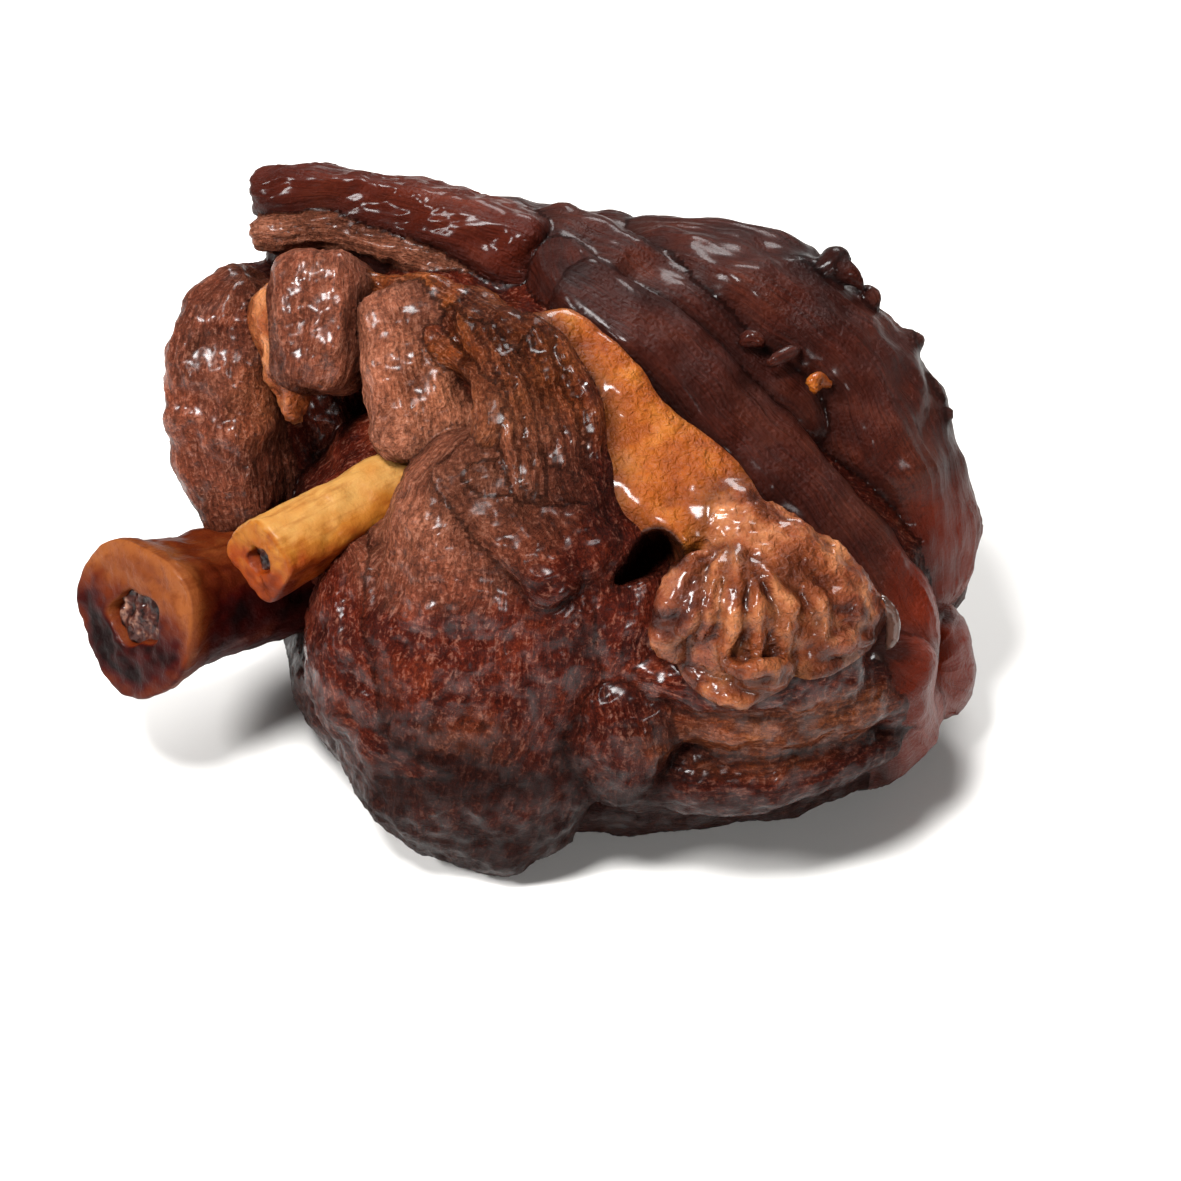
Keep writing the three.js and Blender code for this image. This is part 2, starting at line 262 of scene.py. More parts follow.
def joint_distance(points):
    """How far each point is outside the joint, in mm: the lobes melted together, level below."""
    field = np.full(len(points), FAR)
    moved = bent(points)
    for part in lobes.values():
        near = ((moved > part["low"]) & (moved < part["high"])).all(1)
        if near.any():
            distance = measure(moved[near], part)[0]
            known = field[near]
            if part["kind"] == GAP:
                field[near] = np.maximum(known, -distance)
                continue
            overlap = np.maximum(1 - np.abs(known - distance) / part["melt"], 0)
            field[near] = np.minimum(known, distance) - overlap**2 * part["melt"] / 4
    return np.maximum(field, -points[:, 2])


# The skin is found on a fine grid, looked at only near where a coarse search finds the surface.
BAND = 1.6  # how near, in coarse steps
low = np.min([part["low"] for part in lobes.values()], axis=0)
low[2] = -4 * STEP
high = np.max([part["high"] for part in lobes.values()], axis=0)
coarse_count = np.ceil((high - low) / (STEP * COARSE)).astype(int)
blocks = np.stack(np.meshgrid(*(np.arange(n) for n in coarse_count), indexing="ij"), -1)
centres = low + (blocks.reshape(-1, 3) * COARSE + (COARSE - 1) / 2) * STEP
field = joint_distance(centres).reshape(coarse_count)
for axis in range(3):
    field = field.repeat(COARSE, axis)
close = np.argwhere(np.abs(field) < BAND * STEP * COARSE)
field[tuple(close.T)] = joint_distance(low + close * STEP)


def corner_view(grid, corner):
    return grid[tuple(slice(c, n - 1 + c) for c, n in zip(corner, grid.shape))]


def net(field):
    """The surface where the field crosses zero: one point in each cell it passes, and quads between."""
    inside = field < 0
    count = sum(corner_view(inside, corner).astype(np.int8) for corner in CORNERS)
    crossed = np.argwhere((count > 0) & (count < 8))
    values = np.stack([field[tuple((crossed + corner).T)] for corner in CORNERS], 1)
    total, hits = np.zeros((len(crossed), 3)), np.zeros(len(crossed))
    for a, b in EDGES:
        cut = (values[:, a] < 0) != (values[:, b] < 0)
        share = values[cut, a] / (values[cut, a] - values[cut, b])
        total[cut] += CORNERS[a] + share[:, None] * (CORNERS[b] - CORNERS[a])
        hits[cut] += 1
    points = crossed + total / hits[:, None]
    number = np.full(np.array(field.shape) - 1, -1)
    number[tuple(crossed.T)] = np.arange(len(crossed))
    quads = []
    for axis in range(3):
        first = np.moveaxis(inside, axis, 0)
        turn = np.moveaxis(number, axis, 0)
        change = first[:-1, 1:-1, 1:-1] != first[1:, 1:-1, 1:-1]
        at = np.argwhere(change)
        i, j, k = at.T
        around = np.stack([turn[i, j, k], turn[i, j + 1, k], turn[i, j + 1, k + 1], turn[i, j, k + 1]], 1)
        outward = first[:-1, 1:-1, 1:-1][tuple(at.T)]
        if axis == 1:
            outward = ~outward
        quads.append(np.where(outward[:, None], around, around[:, ::-1]))
    return points, np.concatenate(quads)


points, quads = net(field)
points = low + points * STEP


def normals_of(points, quads):
    corner = points[quads]
    facing = np.cross(corner[:, 2] - corner[:, 0], corner[:, 3] - corner[:, 1])
    total = np.zeros_like(points)
    for i in range(4):
        for axis in range(3):
            total[:, axis] += np.bincount(quads[:, i], facing[:, axis], len(points))
    return total / np.maximum(np.linalg.norm(total, axis=1), 1e-9)[:, None]


def smoothed(values, quads, times):
    """Each value averaged with those of its neighbours."""
    for _ in range(times):
        total, count = values * 2.0, np.full(len(values), 2.0)
        for i in range(4):
            for j in (i - 1, (i + 1) % 4):
                total = total + np.bincount(quads[:, i], values[quads[:, j]], len(values))
                count += np.bincount(quads[:, i], minlength=len(values))
        values = total / count
    return values


# Which lobe each point of the skin lies on, where on it, and how deep in a crease.
PHASE = np.array([37.0, 11.0, 5.0])  # shifts each lobe's grain, so that no two match
FIRM = 2.5  # a lobe that melts further than this into its neighbours has no crease round it
count = len(points)
nearest, second = np.full(count, FAR), np.full(count, FAR)
grain, gap = np.zeros((count, 3)), np.zeros(count)
owner, kind = np.zeros(count, int), np.zeros(count, int)
moved = bent(points)
for i, part in enumerate(lobes.values()):
    near = np.flatnonzero(((moved > part["low"]) & (moved < part["high"])).all(1))
    distance, share, angle = measure(moved[near], part)
    if part["kind"] == GAP:
        gap[near] = np.clip(1.3 - np.abs(distance) / 1.2, 0, 1)
        continue
    round_mm = angle * math.sqrt(part["wide"] * part["thick"])
    here = np.stack([share * part["length"], round_mm, distance], 1) + PHASE * i
    closer = distance < nearest[near]
    second[near] = np.minimum(second[near], np.where(closer, nearest[near], distance))
    chosen = near[closer]
    nearest[chosen], grain[chosen] = distance[closer], here[closer]
    owner[chosen], kind[chosen] = i, part["kind"]
names = list(lobes)
on_firm = np.array([0.85 * (part["melt"] < FIRM) for part in lobes.values()])[owner]
girth = np.array([min(5, 1.1 * part["wide"]) for part in lobes.values()])[owner]
# crease later darkens the colour of every material: painted shade in the creases between lobes, in hollows of
# the skin and round the carved gap.
crease = np.maximum(smoothed(np.clip(1 - (second - nearest) / girth, 0, 1) * on_firm, quads, 2), gap)
facing = normals_of(points, quads)
for times, depth in ((5, 0.35), (20, 1.1)):  # hollows a few millimetres wide, and a centimetre wide
    around = np.stack([smoothed(points[:, axis], quads, times) for axis in range(3)], 1)
    crease = np.maximum(crease, np.clip(((around - points) * facing).sum(1) / depth - 0.1, 0, 1))

# A face belongs to the kind that most of its corners are, and the steps of the border between two
# kinds are drawn out smooth. Relief fades out on the way to the border.
face_kind = np.sort(kind[quads], 1)[:, 1]
edges = np.sort(np.concatenate([quads[:, [i, (i + 1) % 4]] for i in range(4)]), 1)
edges, edge_of = np.unique(edges @ np.array([count, 1]), return_inverse=True)
share_kinds = np.bincount(edge_of.reshape(-1), np.tile(face_kind, 4)) / np.bincount(edge_of.reshape(-1))
border = np.stack(np.divmod(edges[share_kinds % 1 > 0], count), 1)
for _ in range(8):
    total, hits = points.copy(), np.ones(count)
    for a, b in (border.T, border.T[::-1]):
        for axis in range(3):
            total[:, axis] += np.bincount(a, points[b, axis], count)
        hits += np.bincount(a, minlength=count)
    points = total / hits[:, None]
mixed = (kind[quads] != face_kind[:, None]).any(1)
calm = np.ones(count)
calm[quads[mixed].ravel()] = 0
calm = np.minimum(calm, smoothed(calm, quads, 1))
calm *= np.clip(points[:, 2] / 3, 0, 1)
# The lower part lay in the sauce and is darker the lower it lay: partly sauce stain, partly painted shade.
SOAK_AND_SHADE_TOP, SOAK_AND_SHADE_DEPTH = 62, 44  # in mm: where the soaking starts, and how far down it is full
soak = np.clip((SOAK_AND_SHADE_TOP - points[:, 2] + 8 * swell(points, 14, 61)) / SOAK_AND_SHADE_DEPTH, 0, 1)


def linear(colour):
    """An sRGB hex colour as the linear red, green, blue and alpha that a shader takes."""
    channels = [int(colour[i : i + 2], 16) / 255 for i in (1, 3, 5)]
    return [c / 12.92 if c <= 0.04045 else ((c + 0.055) / 1.055) ** 2.4 for c in channels] + [1.0]


def add(tree, kind, settings=None, **links):
    """Adds a node to a material: settings are its own, and links go to its inputs by name or number."""
    made = tree.nodes.new(kind)
    for name, value in (settings or {}).items():
        if name == "stops":
            while len(made.color_ramp.elements) < len(value):
                made.color_ramp.elements.new(0.5)
            for element, (place, colour) in zip(made.color_ramp.elements, value):
                element.position, element.color = place, linear(colour)
        elif isinstance(name, int) or name in made.inputs:
            made.inputs[name].default_value = value
        else:
            setattr(made, name, value)
    for name, source in links.items():
        socket = made.inputs[int(name[1:])] if name[1:].isdigit() else made.inputs[name.replace("_", " ")]
        tree.links.new(source, socket)
    return made


def every(mm):
    """The scale of a noise in metres whose lumps are about this many mm apart."""
    return 1000 / mm


def cells(*mm):
    """What to multiply grain by for a noise whose lumps are this long, wide and deep, in mm."""
    return tuple(1 / size for size in mm)


def new_material(name, same_all_over):
    """A material with its shader, and the values that are the same all over it."""
    made = bpy.data.materials.new(name)
    made.use_nodes = True
    shader = made.node_tree.nodes["Principled BSDF"]
    for socket, value in same_all_over.items():
        shader.inputs[socket].default_value = value
    return made, made.node_tree, shader


def set_up(name, mesh, looks, material, replaces):
    """Makes a mesh a piece. looks are values at each of its points that the material reads."""
    mesh.polygons.foreach_set("use_smooth", np.ones(len(mesh.polygons), bool))
    for label, values in looks.items():
        form, key = ("FLOAT", "value") if values.ndim == 1 else ("FLOAT_VECTOR", "vector")
        store = mesh.attributes.new(label, form, "POINT")
        store.data.foreach_set(key, values.astype(np.float32).ravel())
    mesh.materials.append(material)
    made = bpy.data.objects.new(name, mesh)
    bpy.context.scene.collection.objects.link(made)
    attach(made, "root")
    for node in replaces:
        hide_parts(node)


def piece(name, kind_of_face, relief, looks, material, replaces=()):
    """Cuts one kind out of the joint's skin, raises its relief in mm and sets it up as a piece."""
    own = quads[face_kind == kind_of_face]
    used, numbers = np.unique(own, return_inverse=True)
    place = points[used] + facing[used] * (relief * calm)[used, None]
    mesh = bpy.data.meshes.new(name)
    mesh.vertices.add(len(used))
    mesh.vertices.foreach_set("co", ((place + ORIGIN) * MM).astype(np.float32).ravel())
    mesh.loops.add(len(own) * 4)
    mesh.loops.foreach_set("vertex_index", numbers.reshape(-1).astype(np.int32))
    mesh.polygons.add(len(own))
    mesh.polygons.foreach_set("loop_start", np.arange(len(own), dtype=np.int32) * 4)
    mesh.update(calc_edges=True)
    mesh.validate()
    looks = {"grain": grain, "crease": crease, "relief": relief} | looks
    set_up(name, mesh, {label: values[used] for label, values in looks.items()}, material, replaces)


def on(*wanted):
    """1 where the skin lies on one of these lobes, 0 elsewhere."""
    return np.isin(owner, [i for i, name in enumerate(names) if name.startswith(wanted)]).astype(float)


def patch(centre, size):
    """1 at a place on the joint, falling smoothly to 0 size mm away."""
    apart = np.linalg.norm((points - np.array(centre)) / np.array(size), axis=1)
    return np.clip(1 - apart, 0, 1) ** 0.7


# ---------------------------------------------------------------------------------------------
# Lean meat. The muscles are brown right through from the soy, and dry out to a crust of short
# torn fibres that stand up in small lumps; each one catches the light in a wet point.

# Amber strips and patches; along the lower front edge the amber is partly painted reflection of the orange
# dish.
amber = np.maximum.reduce([
    0.5 * on("nub"), 0.9 * on("amber_band"),
    0.6 * on("strand", "streaky") * np.clip((points[:, 2] - 96) / 12, 0, 1),
    patch((46, -52, 47), (36, 18, 11)), 0.7 * patch((4, -10, 102), (12, 14, 12)),
    0.4 * patch((-28, 2, 98), (14, 14, 14)), 0.6 * patch((-6, 2, 110), (12, 12, 8)),
    0.5 * patch((-20, -45, 42), (14, 20, 12)), 0.5 * patch((-62, 12, 84), (12, 12, 14)),
])
tint = amber * (0.6 + 0.4 * swell(points, 5, 7))
# Paler muscles, and painted light on the top of the front muscle.
pale = (
    0.7 * on("upper", "flap_meat") + 0.4 * on("second") + 0.3 * on("left")
    + 0.9 * patch((-22, -24, 88), (30, 24, 36))
)
lean_relief = (
    0.45 * swell(points, 8, 1) + 0.2 * ridged(points, 4.2, 6) - 0.28 * ridged(grain, (6.0, 2.2, 9), 2)
    + 0.2 * ridged(points, 2.3, 8) + 0.2 * swell(points, 1.7, 3)
)
lean_relief += on("flap_meat") * (0.1 - 0.55 * ridged(grain, (40, 2.1, 9), 4))
lean_relief -= on("strand", "streaky") * 0.4 * ridged(grain, (16, 1.9, 9), 5)

lean, tree, shader = new_material("braised_lean_meat", {
    "Roughness": 0.6, "Specular IOR Level": 0.04, "Coat Roughness": 0.2,
    "Subsurface Weight": 0.08, "Subsurface Radius": (4 * MM, 1.5 * MM, 0.8 * MM),
})
grain_in = add(tree, "ShaderNodeAttribute", {"attribute_name": "grain"})
crease_in = add(tree, "ShaderNodeAttribute", {"attribute_name": "crease"})
tint_in = add(tree, "ShaderNodeAttribute", {"attribute_name": "tint"})
relief_in = add(tree, "ShaderNodeAttribute", {"attribute_name": "relief"})
where = add(tree, "ShaderNodeTexCoord")
# Blotches a centimetre across, where the sauce has soaked in more or less.
blotch = add(tree, "ShaderNodeTexNoise", {"Scale": every(9), "Detail": 6.0, "Roughness": 0.65},
             Vector=where.outputs["Object"])
base = add(tree, "ShaderNodeValToRGB", {"stops": [(0.3, "#44180c"), (0.5, "#652a18"), (0.7, "#84452c")]},
           Fac=blotch.outputs["Fac"])
# Fibres about a millimetre thick along each muscle.
stretch = add(tree, "ShaderNodeVectorMath", {"operation": "MULTIPLY", 1: cells(6.2, 1.1, 3.3)},
              _0=grain_in.outputs["Vector"])
fibre = add(tree, "ShaderNodeTexNoise", {"Scale": 1.0, "Detail": 6.0, "Roughness": 0.65},
            Vector=stretch.outputs[0])
fibre_tone = add(tree, "ShaderNodeValToRGB", {"stops": [(0.35, "#6e4434"), (0.65, "#b8937e")]},
                 Fac=fibre.outputs["Fac"])
fibred = add(tree, "ShaderNodeMix", {"data_type": "RGBA", "blend_type": "SOFT_LIGHT", 0: 0.8},
             _6=base.outputs[0], _7=fibre_tone.outputs[0])
# Some muscles dried paler than the rest, and the top of the front muscle is painted lighter: painted light.
pale_and_lit_in = add(tree, "ShaderNodeAttribute", {"attribute_name": "pale"})
pale_and_lit_mix = add(tree, "ShaderNodeMix", {"data_type": "RGBA", 7: linear("#a86e54")},
               _0=pale_and_lit_in.outputs["Fac"], _6=fibred.outputs[2])
amber_mix = add(tree, "ShaderNodeMix", {"data_type": "RGBA", 7: linear("#b0642c")},
                _0=tint_in.outputs["Fac"], _6=pale_and_lit_mix.outputs[2])
# Painted shade in the hollows of the relief, and painted light on the raised fibres.
height = add(tree, "ShaderNodeMapRange", {"From Min": -0.9, "From Max": 1.0}, Value=relief_in.outputs["Fac"])
relief_shade_tone = add(tree, "ShaderNodeValToRGB", {
    "stops": [(0.1, "#6a4a40"), (0.45, "#d0c4be"), (0.75, "#ffffff")]}, Fac=height.outputs[0])
relief_shaded = add(tree, "ShaderNodeMix", {"data_type": "RGBA", "blend_type": "MULTIPLY", 0: 0.75},
             _6=amber_mix.outputs[2], _7=relief_shade_tone.outputs[0])
# Painted shade in the creases, and the lower part darker, partly sauce stain and partly painted shade.
soak_and_shade_in = add(tree, "ShaderNodeAttribute", {"attribute_name": "soak"})
shade_amount = add(tree, "ShaderNodeMath", {"operation": "MULTIPLY_ADD", 1: 0.75, "use_clamp": True},
           _0=crease_in.outputs["Fac"], _2=soak_and_shade_in.outputs["Fac"])
shade_darkened = add(tree, "ShaderNodeMix", {"data_type": "RGBA", 7: linear("#230803")},
             _0=shade_amount.outputs[0], _6=relief_shaded.outputs[2])
# Torn fibre ends under a millimetre apart: crinkled across every muscle, and drawn out along it.
crinkle = add(tree, "ShaderNodeTexNoise", {
    "Scale": every(0.9), "Detail": 4.0, "Roughness": 0.6, "Distortion": 0.6}, Vector=where.outputs["Object"])
along = add(tree, "ShaderNodeVectorMath", {"operation": "MULTIPLY", 1: cells(3.2, 0.9, 1.6)},
            _0=grain_in.outputs["Vector"])
thread = add(tree, "ShaderNodeTexNoise", {"Scale": 1.0, "Detail": 5.0, "Roughness": 0.6, "Distortion": 0.5},
             Vector=along.outputs[0])
tear = add(tree, "ShaderNodeMix", {"data_type": "FLOAT", 0: 0.5},
           _2=crinkle.outputs["Fac"], _3=thread.outputs["Fac"])
# Painted shade in the pits between the fibre ends, lighter on their tops.
pit_shade_tone = add(tree, "ShaderNodeValToRGB", {
    "stops": [(0.4, "#4c2e24"), (0.5, "#ccb8ae"), (0.57, "#ffffff")]}, Fac=tear.outputs[0])
pit_shaded = add(tree, "ShaderNodeMix", {"data_type": "RGBA", "blend_type": "MULTIPLY", 0: 0.7},
           _6=shade_darkened.outputs[2], _7=pit_shade_tone.outputs[0])
# Painted sheen: pale flecks on the ends that stand highest, fewer in the painted shade of creases and low
# down.
sheen_fleck = add(tree, "ShaderNodeMapRange", {"From Min": 0.53, "From Max": 0.64, "To Max": 0.4},
          Value=tear.outputs[0])
unshaded = add(tree, "ShaderNodeMath", {"operation": "MULTIPLY_ADD", 1: -0.85, 2: 1.0}, _0=shade_amount.outputs[0])
shown_sheen_fleck = add(tree, "ShaderNodeMath", {"operation": "MULTIPLY"}, _0=sheen_fleck.outputs[0], _1=unshaded.outputs[0])
sheen_flecked = add(tree, "ShaderNodeMix", {"data_type": "RGBA", 7: linear("#9a6a58")},
             _0=shown_sheen_fleck.outputs[0], _6=pit_shaded.outputs[2])
tree.links.new(sheen_flecked.outputs[2], shader.inputs["Base Color"])
both = add(tree, "ShaderNodeMath", {"operation": "MULTIPLY_ADD", 1: 0.4}, _0=fibre.outputs["Fac"],
           _2=tear.outputs[0])
bump = add(tree, "ShaderNodeBump", {"Strength": 1.0, "Distance": 2.1 * MM}, Height=both.outputs[0])
tree.links.new(bump.outputs[0], shader.inputs["Normal"])
# Beads of sauce: a wet film in patches a few millimetres across, none down in the creases.
film = add(tree, "ShaderNodeTexNoise", {"Scale": every(4), "Detail": 3.0}, Vector=where.outputs["Object"])
wet = add(tree, "ShaderNodeMapRange", {"From Min": 0.4, "From Max": 0.65, "To Min": 0.08, "To Max": 0.65},
          Value=film.outputs["Fac"])
open_face = add(tree, "ShaderNodeMath", {"operation": "SUBTRACT", 0: 1.0, "use_clamp": True},
                _1=crease_in.outputs["Fac"])
dry = add(tree, "ShaderNodeMath", {"operation": "MULTIPLY_ADD", 1: -0.6, 2: 1.0, "use_clamp": True},
          _0=pale_and_lit_in.outputs["Fac"])
damp = add(tree, "ShaderNodeMath", {"operation": "MULTIPLY"}, _0=wet.outputs[0], _1=dry.outputs[0])
drained = add(tree, "ShaderNodeMath", {"operation": "MULTIPLY_ADD", 1: -0.6, 2: 1.0},
              _0=soak_and_shade_in.outputs["Fac"])
shown = add(tree, "ShaderNodeMath", {"operation": "MULTIPLY"}, _0=damp.outputs[0], _1=drained.outputs[0])
gloss = add(tree, "ShaderNodeMath", {"operation": "MULTIPLY"}, _0=shown.outputs[0], _1=open_face.outputs[0])
tree.links.new(gloss.outputs[0], shader.inputs["Coat Weight"])

looks = {"tint": tint, "pale": pale, "soak": soak}
piece("lean_meat", LEAN, lean_relief, looks, lean, ["meat"])

# ---------------------------------------------------------------------------------------------
# Fat and gristle. The fat between meat and rind has rendered to a firm golden jelly with a pebbled
# face, and the gristle beside it has drawn up in pleats, brown at their edges.

gristle = on("knot", "apron", "pleat", "curl_", "tendon", "scrap")
tint = np.clip(
    0.75 * on("knot", "pleat", "curl_", "apron") + 0.7 * on("tendon")
    + 0.5 * patch((62, -38, 60), (18, 18, 22)) + 0.8 * patch((18, -48, 70), (16, 14, 18)), 0, 1,
)
fat_relief = 0.16 * swell(points, 3.2, 11) + 0.16 * swell(points, 1.7, 12)
fat_relief += gristle * (
    0.4 * ridged(grain, (8, 2.6, 9), 13) + 0.4 * swell(points, 4.5, 14) + 0.45 * ridged(points, 2.6, 15))

fat, tree, shader = new_material("rendered_fat_and_gristle", {
    "Roughness": 0.45, "Specular IOR Level": 0.1, "Coat Weight": 0.28, "Coat Roughness": 0.15,
    "Subsurface Weight": 0.12, "Subsurface Radius": (5 * MM, 2 * MM, 0.8 * MM),
})
crease_in = add(tree, "ShaderNodeAttribute", {"attribute_name": "crease"})
tint_in = add(tree, "ShaderNodeAttribute", {"attribute_name": "tint"})
relief_in = add(tree, "ShaderNodeAttribute", {"attribute_name": "relief"})
where = add(tree, "ShaderNodeTexCoord")
blotch = add(tree, "ShaderNodeTexNoise", {"Scale": every(8), "Detail": 6.0}, Vector=where.outputs["Object"])
base = add(tree, "ShaderNodeValToRGB", {"stops": [(0.3, "#70300a"), (0.5, "#8a4612"), (0.75, "#a46424")]},
           Fac=blotch.outputs["Fac"])
browned = add(tree, "ShaderNodeValToRGB", {"stops": [(0.35, "#34130a"), (0.5, "#68321d"), (0.7, "#a26a48")]},
              Fac=blotch.outputs["Fac"])
mix = add(tree, "ShaderNodeMix", {"data_type": "RGBA"},
          _0=tint_in.outputs["Fac"], _6=base.outputs[0], _7=browned.outputs[0])
# Painted shade in the hollows of the relief, and painted light on its raised parts.
height = add(tree, "ShaderNodeMapRange", {"From Min": -0.9, "From Max": 0.9}, Value=relief_in.outputs["Fac"])
relief_shade_tone = add(tree, "ShaderNodeValToRGB", {
    "stops": [(0.1, "#6a3c28"), (0.42, "#e8dcd4"), (0.7, "#ffffff")]}, Fac=height.outputs[0])
relief_shaded = add(tree, "ShaderNodeMix", {"data_type": "RGBA", "blend_type": "MULTIPLY", 0: 0.8},
             _6=mix.outputs[2], _7=relief_shade_tone.outputs[0])
# Painted shade in the creases between pleats and lobes.
shade_amount = add(tree, "ShaderNodeMath", {"operation": "MULTIPLY", 1: 0.95}, _0=crease_in.outputs["Fac"])
shade_darkened = add(tree, "ShaderNodeMix", {"data_type": "RGBA", 7: linear("#240a05")},
             _0=shade_amount.outputs[0], _6=relief_shaded.outputs[2])
tree.links.new(shade_darkened.outputs[2], shader.inputs["Base Color"])
pebble = add(tree, "ShaderNodeTexNoise", {"Scale": every(1.6), "Detail": 3.0, "Distortion": 0.5},
             Vector=where.outputs["Object"])
bump = add(tree, "ShaderNodeBump", {"Strength": 1.0, "Distance": 1.4 * MM}, Height=pebble.outputs["Fac"])
tree.links.new(bump.outputs[0], shader.inputs["Normal"])

piece("fat_and_gristle", FAT, fat_relief, {"tint": tint}, fat)

# ---------------------------------------------------------------------------------------------
# Rind. The skin is four to eight millimetres thick, cooked to a dark gelatine: smooth and glossy
# on top, finely lined along each fold, and redder at the thick end, partly its own red and partly
# painted reflection of the orange dish.

# Redder at the thick end: partly the rind's own red, partly painted reflection of the orange dish.
tint = np.clip(0.1 * on("flap_rind") + 0.8 * patch((88, -16, 40), (26, 40, 40)), 0, 1)
slanted = grain @ np.array([[1, 0, 0], [0.9, 1, 0], [0, 0, 1]])
rind_relief = 0.35 * swell(points, 13, 21) + 0.28 * ridged(grain, (22, 2.8, 9), 22)
rind_relief += 0.12 * swell(points, 3.4, 23) + 0.14 * ridged(grain, (9, 1.8, 9), 25)
rind_relief += on("flap_rind") * (
    0.35 * ridged(slanted, (2.6, 11, 9), 24) - 0.5 * ridged(grain, (60, 7, 9), 26))

rind, tree, shader = new_material("braised_rind", {"Specular IOR Level": 0.08, "Coat Roughness": 0.17})
grain_in = add(tree, "ShaderNodeAttribute", {"attribute_name": "grain"})
crease_in = add(tree, "ShaderNodeAttribute", {"attribute_name": "crease"})
tint_in = add(tree, "ShaderNodeAttribute", {"attribute_name": "tint"})
where = add(tree, "ShaderNodeTexCoord")
blotch = add(tree, "ShaderNodeTexNoise", {"Scale": every(22), "Detail": 7.0, "Roughness": 0.65},
             Vector=where.outputs["Object"])
base = add(tree, "ShaderNodeValToRGB", {"stops": [(0.3, "#280c07"), (0.5, "#3f170d"), (0.72, "#5a2b1c")]},
           Fac=blotch.outputs["Fac"])
stretch = add(tree, "ShaderNodeVectorMath", {"operation": "MULTIPLY", 1: cells(20, 0.9, 2.5)},
              _0=grain_in.outputs["Vector"])
line = add(tree, "ShaderNodeTexNoise", {"Scale": 1.0, "Detail": 6.0, "Roughness": 0.7},
           Vector=stretch.outputs[0])
line_tone = add(tree, "ShaderNodeValToRGB", {"stops": [(0.35, "#4c3c36"), (0.65, "#b8aaa2")]},
                Fac=line.outputs["Fac"])
lined = add(tree, "ShaderNodeMix", {"data_type": "RGBA", "blend_type": "SOFT_LIGHT", 0: 0.7},
            _6=base.outputs[0], _7=line_tone.outputs[0])
# Painted reflection of the orange dish, with the rind's own red.
red_and_reflection_mix = add(tree, "ShaderNodeMix", {"data_type": "RGBA", 7: linear("#842608")},
              _0=tint_in.outputs["Fac"], _6=lined.outputs[2])
# Painted shade in the creases between folds.
shade_amount = add(tree, "ShaderNodeMath", {"operation": "MULTIPLY", 1: 0.8}, _0=crease_in.outputs["Fac"])
shade_darkened = add(tree, "ShaderNodeMix", {"data_type": "RGBA", 7: linear("#120403")},
             _0=shade_amount.outputs[0], _6=red_and_reflection_mix.outputs[2])
# One strip of skin beside the gristle is glossier and painted a paler greyish brown: a painted highlight
# along that wet ridge.
lip_sheen_in = add(tree, "ShaderNodeAttribute", {"attribute_name": "jelly"})
jelly = add(tree, "ShaderNodeMix", {"data_type": "RGBA", 7: linear("#54382e")},
            _0=lip_sheen_in.outputs["Fac"], _6=shade_darkened.outputs[2])
tree.links.new(jelly.outputs[2], shader.inputs["Base Color"])
pore = add(tree, "ShaderNodeTexNoise", {"Scale": every(1.1), "Detail": 3.0}, Vector=where.outputs["Object"])
both = add(tree, "ShaderNodeMath", {"operation": "MULTIPLY_ADD", 1: 0.7}, _0=pore.outputs["Fac"],
           _2=line.outputs["Fac"])
bump = add(tree, "ShaderNodeBump", {"Strength": 1.0, "Distance": 1.1 * MM}, Height=both.outputs[0])
tree.links.new(bump.outputs[0], shader.inputs["Normal"])
wet = add(tree, "ShaderNodeMapRange", {"To Min": 0.3, "To Max": 0.5}, Value=line.outputs["Fac"])
tree.links.new(wet.outputs[0], shader.inputs["Roughness"])
shine = add(tree, "ShaderNodeMath", {"operation": "MULTIPLY_ADD", 1: 0.85, 2: 0.13},
            _0=lip_sheen_in.outputs["Fac"])
tree.links.new(shine.outputs[0], shader.inputs["Coat Weight"])

piece("rind", RIND, rind_relief, {"tint": tint, "jelly": on("wet_lip")}, rind)

# ---------------------------------------------------------------------------------------------
# The leg bones, sawn across by the butcher. Fat and sauce have stained them amber, the marrow has
# shrunk back into each, and the saw has left their ends rough. The large one flares to its rim.

AROUND = 128  # points round a bone
OBLIQUE = np.array([0, -0.24, 0.2])  # how far out of square the saw cut the bones
MARROW_TOP, MARROW_FOOT = 2.2, 8.5  # in mm below the sawn face


def loose_piece(name, place, rings, looks, material, node):
    """A piece of its own from rings of points in mm, in place of the solid that node names."""
    mesh = bpy.data.meshes.new(name)
    mesh.from_pydata([tuple(p) for p in (place + ORIGIN) * MM], [], rings_to_faces(rings, AROUND))
    set_up(name, mesh, looks, material, [node])


def rings_to_faces(count, around):
    """Quads between rings of points, and a cap on the first ring and on the last."""
    ring = [(j, (j + 1) % around) for j in range(around)]
    faces = [
        (i * around + j, i * around + k, (i + 1) * around + k, (i + 1) * around + j)
        for i in range(count - 1) for j, k in ring
    ]
    return faces + [tuple(range(around - 1, -1, -1)), tuple(range((count - 1) * around, count * around))]


